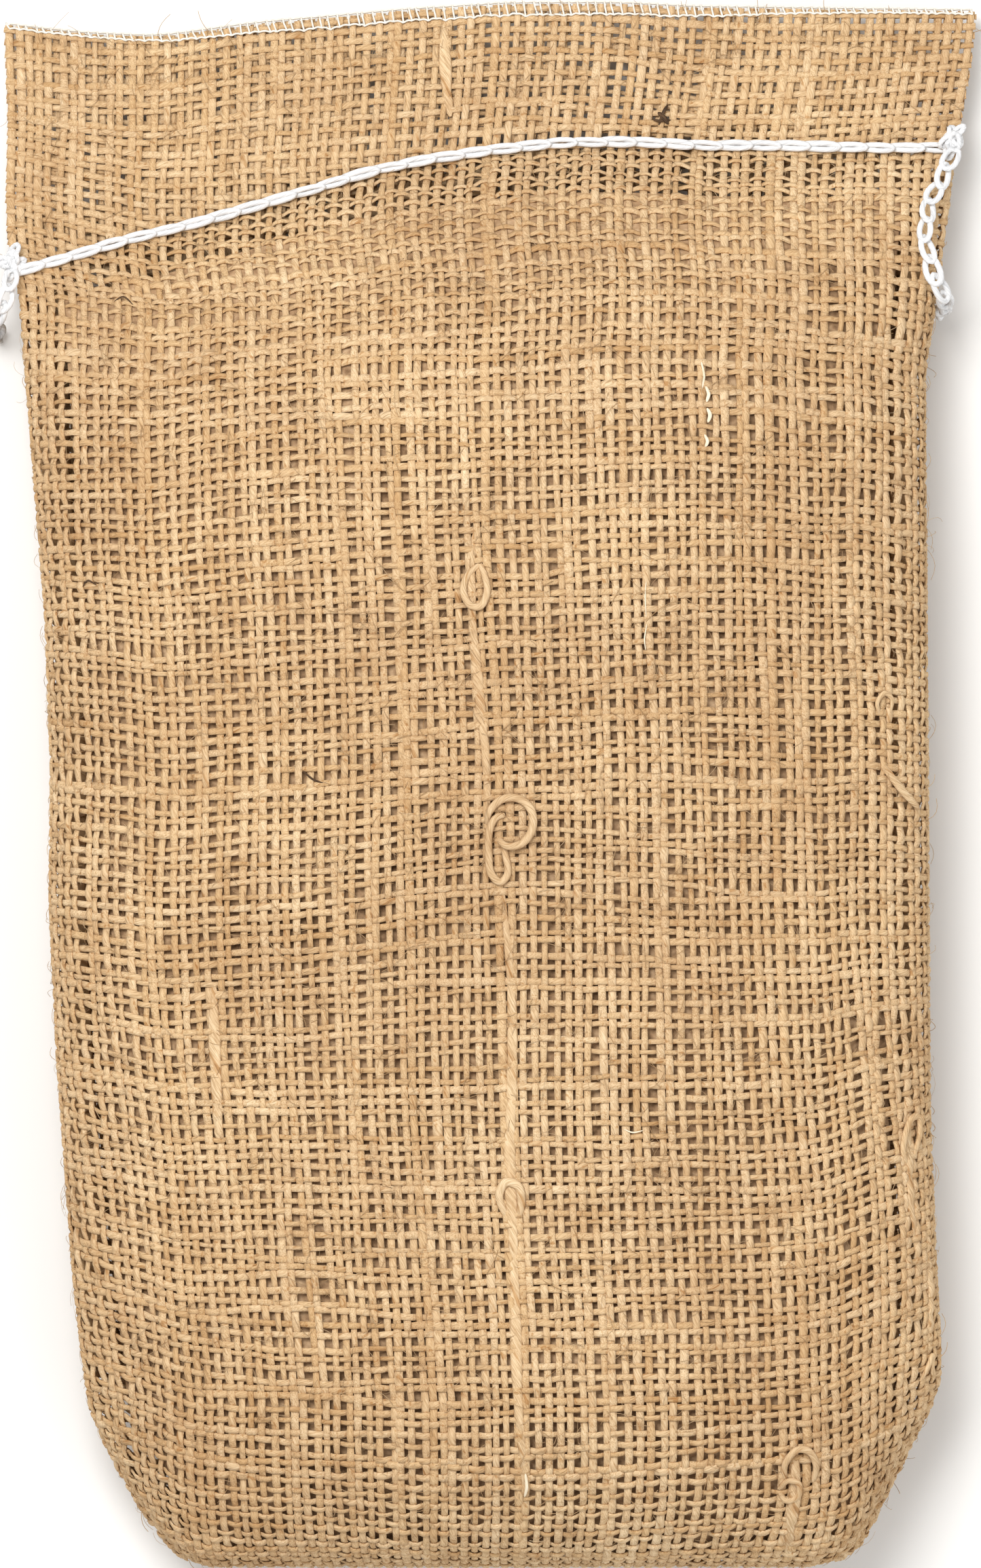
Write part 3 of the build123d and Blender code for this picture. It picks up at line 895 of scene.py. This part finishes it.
def makeClosingChain():
    rng = np.random.default_rng(seed + 5)
    line = ridge(np.linspace(-147.5, 141, 400) * mm, "front")
    line[:, 2] += chain["strand"] * 0.75
    strands = newStrands()
    up = unit(np.array([0, -0.25, 1.0]))
    addChain(strands, line, up, chain["pitch"], chain["width"], chain["strand"], rng)
    piece = makeStrands("closingChain", strands, cotton, flatness=0.92, sides=8)
    fasten(piece, "sack", "cotton_thread", "closing_chain")

    dashes = newStrands()
    line = ridge(np.linspace(-146, 140, 400) * mm, "back")
    line[:, 2] -= chain["strand"] * 0.42
    steps = lineSteps(line)
    count = round(steps[-1] / chain["pitch"])
    for k in range(count):
        at = (k + 0.5) * steps[-1] / count + np.linspace(-0.44, 0.44, 9) * chain["pitch"]
        dash = atLength(line, steps, np.clip(at, 0, steps[-1]))
        dash[:, 2] += np.abs(np.linspace(-1, 1, 9)) ** 4 * 1.3 * mm  # both ends go in through the cloth
        width = chain["strand"] * (1 + 0.05 * rng.standard_normal())
        addStrand(dashes, dash, (0, 0, -1), width, rng.random())
    piece = makeStrands("closingStitchesBack", dashes, cotton, flatness=0.85, sides=8)
    fasten(piece, "sack", "cotton_thread", "closing_stitches_back")


def makeTuft(name, middle, node, count, reach):
    # a tangle of small loops round the end of the chain
    rng = np.random.default_rng(seed + count)
    strands = newStrands()
    turn = np.linspace(0, 2 * math.pi, 15)[:-1]
    for _ in range(count):
        flat = unit(rng.standard_normal(3) * [1, 1, 0.35])
        across = unit(np.cross(flat, rng.standard_normal(3) + [0, 0, 1.6]))
        long, short = reach * (0.75 + 0.4 * rng.random()), reach * (0.30 + 0.25 * rng.random())
        centre = np.array(middle) * mm + rng.standard_normal(3) * [1.1, 1.5, 0.6] * mm
        loop = centre + np.cos(turn)[:, None] * flat * long + np.sin(turn)[:, None] * across * short
        outward = unit(np.cross(flat, across))
        addStrand(strands, loop, outward, chain["tailStrand"] * 0.85, rng.random(), closed=True)
    piece = makeStrands(name, strands, cotton, flatness=0.95, sides=8)
    fasten(piece, "sack", "cotton_thread", node)


makeClosingChain()
makeTuft("rightChainTuft", (141.8, 197.6, 20.4), "right_chain_knot", 9, 3.3 * mm)
makeTuft("leftChainTuft", (-147.8, 161.0, 19.2), "left_chain_knot", 8, 2.8 * mm)
print("closing stitch made")


# overlocked mouth edges

overlock = {
    "thread": 0.62 * mm,
    "pitch": 2.75 * mm,
    "depth": 3.7 * mm,  # how far the rungs reach in from the edge
    "deepestAt": -6 * mm,
    "spread": 92 * mm,
    "edgeDepth": 1.1 * mm,
}


def makeOverlock(ply, name, body, node):
    rng = np.random.default_rng(seed + 7)
    strands = newStrands()
    sign = plies[ply]
    thick = yarns["crimp"] + yarns["weftWidth"] * yarns["flatness"] / 2 + overlock["thread"] * 0.35

    def onCloth(x, inward, rise):
        y = mouthLine(x) - 0.3 * mm - inward
        return np.stack([x, y, headingHeight(x, y, ply) + sign * rise], -1)

    rungs = np.arange(-148.6, 148.6, overlock["pitch"] / mm) * mm
    rungs = rungs + 0.35 * mm * rng.standard_normal(len(rungs))
    depth = overlock["edgeDepth"] + (overlock["depth"] - overlock["edgeDepth"]) * np.exp(
        -((rungs - overlock["deepestAt"]) / overlock["spread"]) ** 4)
    depth = depth * (1 + 0.07 * rng.standard_normal(len(rungs)))
    for x, deep in zip(rungs, depth):
        lean = -0.8 * mm + 0.3 * mm * rng.standard_normal()
        share = np.array([0, 0.3, 0.7, 1.0, 1.02, 0.6])
        level = np.array([1, 1.06, 1.06, 0.7, -0.7, -1.02]) * thick
        shift = np.array([0, 0.3, 0.7, 1.0, 1.1, 1.2])
        rung = onCloth(x + lean * shift, deep * (1 - share), 0.0)
        rung[:, 2] += sign * level
        rung[3:5, 1] += 0.5 * mm
        addStrand(strands, rung, (0, 0, sign), overlock["thread"], rng.random())
    fine = np.linspace(rungs[0], rungs[-1], 6 * len(rungs))
    phase = np.interp(fine, rungs, np.arange(len(rungs)) % 1.0 + np.arange(len(rungs)))
    scallop = 0.42 * mm * np.abs(np.sin(phase * math.pi))
    inner = onCloth(fine, np.interp(fine, rungs, depth) - scallop + 0.2 * mm, thick * 1.02)
    addStrand(strands, inner, (0, 0, sign), overlock["thread"] * 1.05, 0.6)
    outer = onCloth(fine, -0.25 * mm - 0.3 * scallop, thick * 0.35)
    addStrand(strands, outer, (0, 0, sign), overlock["thread"] * 1.05, 0.4)
    piece = makeStrands(name, strands, overlockCotton, flatness=0.95, sides=6)
    fasten(piece, body, "cotton_thread", node)


makeOverlock("front", "mouthOverlockFront", "heading_front", "mouth_overlock_front")
makeOverlock("back", "mouthOverlockBack", "heading_back", "mouth_overlock_back")
print("mouth edges overlocked")


# side seams: the turned-in edges and their overcast stitches, inside the cloth

sideSeams = {
    "width": 8.5 * mm,
    "thickness": 2.2 * mm,
    "inset": 3.0 * mm,
    "low": -176 * mm,
    "high": {"left": 136 * mm, "right": 164 * mm},
    "pitch": 10 * mm,
    "stitch": 1.3 * mm,
}


def makeSideSeam(side):
    edge, inward = (leftEdge, 1) if side == "left" else (rightEdge, -1)
    y = np.linspace(sideSeams["low"], sideSeams["high"][side], 90)
    x = edge(y) + inward * (sideSeams["inset"] + sideSeams["width"] / 2)
    rim = edge(y) + inward * 1.0 * mm
    z = (clothHeight(rim, y, "front") + clothHeight(rim, y, "back")) / 2
    band = newStrands()
    addStrand(band, np.stack([x, y, z], -1), (0, 0, 1), sideSeams["width"], 0.3)
    piece = makeStrands(side + "SideSeam", band, jute, 0, sideSeams["thickness"] / sideSeams["width"], 12)
    fasten(piece, "sack", "jute", side + "_side_seam")
    stitches = newStrands()
    for at in np.arange(y[0] + 6 * mm, y[-1] - 4 * mm, sideSeams["pitch"]):
        across = np.linspace(-0.46, 0.46, 7) * sideSeams["width"]
        climb = sideSeams["thickness"] / 2 * np.sqrt(1 - np.linspace(-0.9, 0.9, 7) ** 2) + 0.5 * mm
        centre = [np.interp(at, y, x), at, np.interp(at, y, z)]
        line = np.stack([centre[0] + across, centre[1] + across * 0.3, centre[2] + climb], -1)
        addStrand(stitches, line, (0, 0, 1), sideSeams["stitch"], 0.5)
    piece = makeStrands(side + "SeamThread", stitches, twine, flatness=0.9, sides=6)
    fasten(piece, "sack", "jute_twine", side + "_seam_thread")


makeSideSeam("left")
makeSideSeam("right")
print("side seams made")


# slubs, pulled loops and bits of bark: what loose spinning leaves on the cloth


def smoothThrough(points, closeness=6):
    # an easy line through the given points
    points = np.array(points, float)
    ends = np.concatenate([[2 * points[0] - points[1]], points, [2 * points[-1] - points[-2]]])
    line = []
    for a, b, c, d in zip(ends, ends[1:], ends[2:], ends[3:]):
        for t in np.arange(closeness) / closeness:
            curve = (2 * a - 5 * b + 4 * c - d) * t**2 + (3 * b - a - 3 * c + d) * t**3
            line.append(0.5 * (2 * b + (c - a) * t + curve))
    line.append(points[-1])
    return np.array(line)


def onFront(points, sink=0.0):
    # (across, up, height over the yarns) in millimetres, set on the front of the cloth
    line = smoothThrough(points) * mm
    x, y = line[:, 0], line[:, 1]
    base = clothHeight(x, y, "front")
    step = 1 * mm
    slopeX = (clothHeight(x + step, y, "front") - base) / step
    slopeY = (clothHeight(x, y + step, "front") - base) / step
    way = unit(np.stack([-slopeX, -slopeY, np.ones_like(x)], -1))
    rise = line[:, 2] + yarns["crimp"] * 1.2 - sink
    return np.stack([x, y, base], -1) + way * rise[:, None], way


pulledLoops = {  # yarn width, then points as (across, up, height over the yarns), in millimetres
    "upperLoop": (2.3, [(-3.6, 67, -0.4), (-7.2, 63.6, 0.7), (-8.4, 58.8, 1.3), (-6.4, 54.6, 1.5),
        (-3, 54.4, 1.5), (-1.2, 58.6, 1.3), (-1.9, 63.4, 0.9), (-3.4, 67.2, -0.3)]),
    "curl": (2.6, [(-1.2, -12, -0.5), (-0.6, -8.2, 0.8), (3.2, -4.4, 1.6), (8.4, -4.2, 1.9),
        (12, -7.6, 2), (12.4, -13.2, 2.1), (9.4, -17.6, 2.4), (5, -18.6, 2.8), (2.2, -16.6, 2.9)]),
    "curlTail": (2.4, [(4.2, -9, 0.2), (1.2, -10.2, 1.2), (-0.6, -14.2, 1.8), (-0.8, -20.2, 1.6),
        (-0.2, -26.4, 1.4), (2.6, -29.4, 1.3), (5, -26.8, 1.3), (4.4, -21.6, 1.1), (3.2, -17.4, 0.6)]),
    "lowerArch": (2.8, [(4.4, -131, -0.3), (2.4, -125, 0.8), (4.4, -120.8, 1.5), (8.2, -122, 1.4),
        (9.2, -126.6, 0.9), (8.6, -131, -0.3)]),
    "rightLoop": (1.6, [(118.4, 21.5, -0.3), (117.2, 25.2, 0.8), (119.2, 28, 1.1), (121.6, 26, 0.9),
        (121.4, 21.4, -0.3)]),
    "looseEnd": (2.6, [(119.4, 6.2, -0.4), (121.6, 2.2, 1), (124.6, -2.2, 1.6), (128.4, -6.6, 1.9)]),
    "edgeLoop": (2.3, [(126.8, -116, -0.3), (124.9, -110.6, 0.9), (126.6, -103, 1.3),
        (129.2, -101.6, 1.2), (129.8, -107, 1), (128.8, -114.4, -0.3)]),
    "footArch": (2.3, [(89.6, -212.4, -0.4), (89.2, -206.6, 1), (92.4, -202.2, 1.6), (96.4, -202.8, 1.6),
        (98.6, -207.4, 1), (98, -212.6, -0.4)]),
    "footCoil": (2, [(87.6, -214.6, -0.2), (90.2, -211.6, 1), (93.4, -212.6, 1.2), (93.2, -216.4, 1.1),
        (89.8, -217.8, 0.8), (87.8, -215.6, -0.2)]),
    "sideCurl": (1.9, [(131.2, -182.6, -0.3), (132.8, -178, 0.7), (134, -174.6, 0.9),
        (134.2, -180.4, 0.6)]),
}
slubRuns = {  # an extra thick yarn laid over the weave: widest width, points
    "middleUpper": (3.5, [(-4.9, 77, -0.4), (-6.2, 66, 0.1), (-5.6, 50, 0.2), (-4.6, 38, 0.1),
        (-3.2, 24, 0.2), (-1.6, 8, 0.2), (-0.8, -9, -0.3)]),
    "middleLower": (3.3, [(3.4, -32, -0.3), (5.2, -50, 0.2), (6.4, -70, 0.1), (6.2, -92, 0.1),
        (5.6, -112, 0.2), (6.6, -136, 0.2), (7.4, -160, 0.1), (8, -184, 0.2), (9.6, -205, 0.1),
        (10.6, -219, -0.3)]),
    "rightFoot": (3.9, [(92.2, -196, -0.4), (92.6, -214, 0.4), (91.4, -226, 0.3), (90.8, -236, -0.3)]),
    "rightSide": (3.7, [(133.4, -144, -0.4), (134, -152, 0.2), (134.2, -162, 0.2), (133.8, -170, -0.3)]),
    "edgeRun": (2.9, [(126.6, -96, -0.4), (127.4, -112, 0.1), (128, -128, 0.2), (130.6, -146, -0.3)]),
    "leftLow": (3.4, [(-84.6, -60, -0.4), (-84.2, -76, 0.1), (-83.4, -96, 0.1), (-83, -108, -0.4)]),
    "headThick": (3.3, [(-14, 239, -0.3), (-14.4, 228, 0.2), (-13.6, 214, 0.1), (-12.6, 206, -0.4)]),
}
strawBits = [
    (0.9, [(63.8, 129.4, 0.2), (64.6, 124.6, 0.7), (64.2, 120.6, 0.3)]),
    (1.5, [(65.2, 121.2, 0.4), (66, 118.8, 0.8), (65.4, 116.4, 0.5)]),
    (1.6, [(65.6, 114.6, 0.4), (66.4, 112.4, 0.8), (65.8, 110.2, 0.4)]),
    (1.4, [(64.8, 106.6, 0.4), (65.6, 104.4, 0.8), (65, 102.8, 0.4)]),
    (0.5, [(47, 62, 0.2), (46.6, 57, 0.8), (47, 51, 0.3)]),
    (0.5, [(47.2, 49, 0.3), (46.4, 44.6, 0.8), (46.8, 41, 0.3)]),
    (0.6, [(40.2, -104.6, 0.2), (43, -105.6, 0.8), (46.2, -105, 0.2)]),
    (1.3, [(10.4, -209, 0.3), (10.8, -213, 0.8), (10.2, -216.4, 0.3)]),
]
barkBits = [
    (1.9, [(51.4, 207.2, 0.2), (53, 205.6, 1.2), (54.6, 203.4, 0.6)]),
    (1.3, [(54.4, 209.4, 0.1), (53.2, 207.2, 1.4), (51.6, 203.2, 0.4)]),
    (1.1, [(49.8, 205, 0.2), (52, 204.4, 1), (55.4, 204.8, 0.3)]),
    (0.7, [(-124.4, 60.6, 0.1), (-122.4, 62.4, 0.7), (-120, 61, 0.2)]),
    (0.8, [(-57.2, 4.4, 0.1), (-54.2, 1.8, 0.7), (-50.6, 0.4, 0.2)]),
    (0.7, [(-115.6, 148, 0.1), (-112.6, 149.2, 0.7), (-109.8, 147, 0.2)]),
]


def taper(count, ends=0.35):
    return ends + (1 - ends) * np.sin(np.linspace(0, math.pi, count)) ** 0.4


def makeSpinning():
    rng = np.random.default_rng(seed + 9)
    loops, slubs, head, straws, barks, foldBarks = (newStrands() for _ in range(6))
    for width, points in pulledLoops.values():
        line, way = onFront(points)
        addStrand(loops, line, way, width * mm * taper(len(line), 0.6), 0.55 + 0.4 * rng.random())
    for name, (width, points) in slubRuns.items():
        line, way = onFront(points, 0.25 * mm)
        count = len(line)
        knots = np.arange(0, count + 3, 3)
        bumps = 1 + 0.16 * np.interp(np.arange(count), knots, rng.standard_normal(len(knots)))
        dips = 0.42 * mm * np.sin(np.arange(count) * 1.9)  # it goes under a weft here and there
        into = head if name == "headThick" else slubs
        widths = width * mm * taper(count) * np.clip(bumps, 0.7, 1.3)
        addStrand(into, line + way * dips[:, None], way, widths, 0.8)
    for bits, into in ((strawBits, straws), (barkBits, barks)):
        for width, points in bits:
            line, way = onFront(points)
            chosen = foldBarks if points[0][1] > 200 else into
            addStrand(chosen, line, way, width * mm * 0.8 * taper(len(line), 0.2), rng.random())
    for name, strands, finish, flatness, body, slotName in (
        ("pulledLoops", loops, jute, 0.72, "sack", "jute"),
        ("slubYarns", slubs, jute, 0.42, "sack", "jute"),
        ("headingSlub", head, jute, 0.42, "frontFold", "jute"),
        ("strawBits", straws, straw, 0.6, "sack", "jute"),
        ("barkBits", barks, bark, 0.7, "sack", "filling"),
        ("foldBark", foldBarks, bark, 0.7, "rootFold", "filling"),
    ):
        fasten(makeStrands(name, strands, finish, flatness=flatness, sides=8), body, slotName)


makeSpinning()
print("slubs and loops made")


# stray fibres

hairs = {
    "front": 5400,
    "back": 900,
    "shortest": 2.5 * mm,
    "longest": 10 * mm,
    "thickness": 0.155 * mm,
    "bareFold": (1 * mm, 9 * mm),  # middle and half width of the strip without any
}


def makeHairs(ply):
    rng = np.random.default_rng(seed + 11 + plies[ply])
    table, outward, _ = tables[ply]
    groups = {}
    for _ in range(hairs[ply]):
        u, v = rng.random(2)
        place = readTable(table, np.array([u]), np.array([v]))[0]
        way = unit(readTable(outward, np.array([u]), np.array([v])))[0]
        aim = unit(np.cross(way, rng.standard_normal(3)))
        side = np.cross(way, aim)
        length = hairs["shortest"] + (hairs["longest"] - hairs["shortest"]) * rng.random() ** 2
        t = np.linspace(0, 1, 6)[:, None]
        bend, hop = rng.standard_normal() * 0.35, 0.10 + 0.22 * rng.random()
        line = place + way * 0.5 * mm + length * (aim * t + side * bend * t**2 + way * hop * np.sin(t * 2.6))
        line[:, 2] = np.maximum(line[:, 2], 0.15 * mm)
        away = pastFold(line[0, 0], line[0, 1])
        if abs(away - hairs["bareFold"][0]) < hairs["bareFold"][1]:
            continue
        name = "sackHairs" if away < 0 else "headingHairs"
        thickness = hairs["thickness"] * (0.6 + 0.8 * rng.random())
        addStrand(groups.setdefault(name, newStrands()), line, way, thickness, rng.random())
    for name, strands in groups.items():
        piece = makeStrands(name + ply.capitalize(), strands, jute, flatness=1, sides=3)
        fasten(piece, "sack" if name == "sackHairs" else "heading_" + ply, "jute")


makeHairs("front")
makeHairs("back")
print("stray fibres made")


# filling: the load, just inside the cloth


def makeFilling():
    across = (1 - np.cos(np.linspace(0, math.pi, 61))) / 2 * 0.9 + 0.05
    up = (1 - np.cos(np.linspace(0, math.pi, 81))) / 2
    inset = 2.3 * mm
    s, t = np.meshgrid(across, up)
    middleX = leftEdge(s * 0) + (rightEdge(s * 0) - leftEdge(s * 0)) * s
    low = footLine(middleX) + 4 * mm
    y = low + (seamLine(middleX) - 16 * mm - low) * t
    left, right = leftEdge(y), rightEdge(y)
    x = left + (right - left) * s
    y = np.maximum(y, footLine(x) + 4 * mm)
    top, base = clothHeight(x, y, "front", inset), clothHeight(x, y, "back", inset)
    rim = np.zeros_like(s, bool)
    rim[0], rim[-1], rim[:, 0], rim[:, -1] = True, True, True, True
    middle = (top + base) / 2
    top = np.where(rim, middle, np.maximum(top, middle + 0.2 * mm))
    base = np.where(rim, middle, np.minimum(base, middle - 0.2 * mm))
    rows, columns = s.shape
    upper = np.stack([x, y, top], -1).reshape(-1, 3)
    lower = np.stack([x, y, base], -1).reshape(-1, 3)
    index = np.arange(rows * columns).reshape(rows, columns)
    under = np.where(rim, index, index + rows * columns)
    faces = []
    for j in range(rows - 1):
        for i in range(columns - 1):
            faces.append((index[j, i], index[j, i + 1], index[j + 1, i + 1], index[j + 1, i]))
            faces.append((under[j, i], under[j + 1, i], under[j + 1, i + 1], under[j, i + 1]))
    shape = bpy.data.meshes.new("sackFilling")
    shape.from_pydata(np.concatenate([upper, lower]).tolist(), [], [tuple(int(v) for v in f) for f in faces])
    kit = bmesh.new()
    kit.from_mesh(shape)
    bmesh.ops.delete(kit, geom=[v for v in kit.verts if not v.link_faces], context="VERTS")
    kit.to_mesh(shape)
    kit.free()
    shape.shade_smooth()
    shape.materials.append(loose)
    piece = addObject("sackFilling", shape)
    fasten(piece, "sack", "filling", "filling")


makeFilling()
print("filling made")


# studio


def makeStudio():
    floor = bpy.data.meshes.new("floor")
    reach, level = 6.0, -0.3 * mm
    corners = [(-1, -1), (1, -1), (1, 1), (-1, 1)]
    floor.from_pydata([(x * reach, y * reach, level) for x, y in corners], [], [(0, 1, 2, 3)])
    finish, tree, shader = newFinish("paleFloor", 0.9, 0.1)
    shader.inputs["Base Color"].default_value = studio["floorColour"]
    floor.materials.append(finish)
    addObject("floor", floor)
    for name in ("key", "fill"):
        place, size, power = studio[name]
        light = bpy.data.lights.new(name, "AREA")
        light.size = size
        light.energy = power
        lamp = addObject(name, light)
        lamp.location = place
        lamp.rotation_euler = (-Vector(place)).to_track_quat("-Z", "Y").to_euler()
    world = bpy.data.worlds.new("dome")
    bpy.context.scene.world = world
    world.use_nodes = True
    dome = world.node_tree.nodes["Background"]
    dome.inputs["Color"].default_value = (1, 1, 1, 1)
    dome.inputs["Strength"].default_value = studio["domeStrength"]
    bpy.context.scene.view_settings.view_transform = "Standard"


makeStudio()
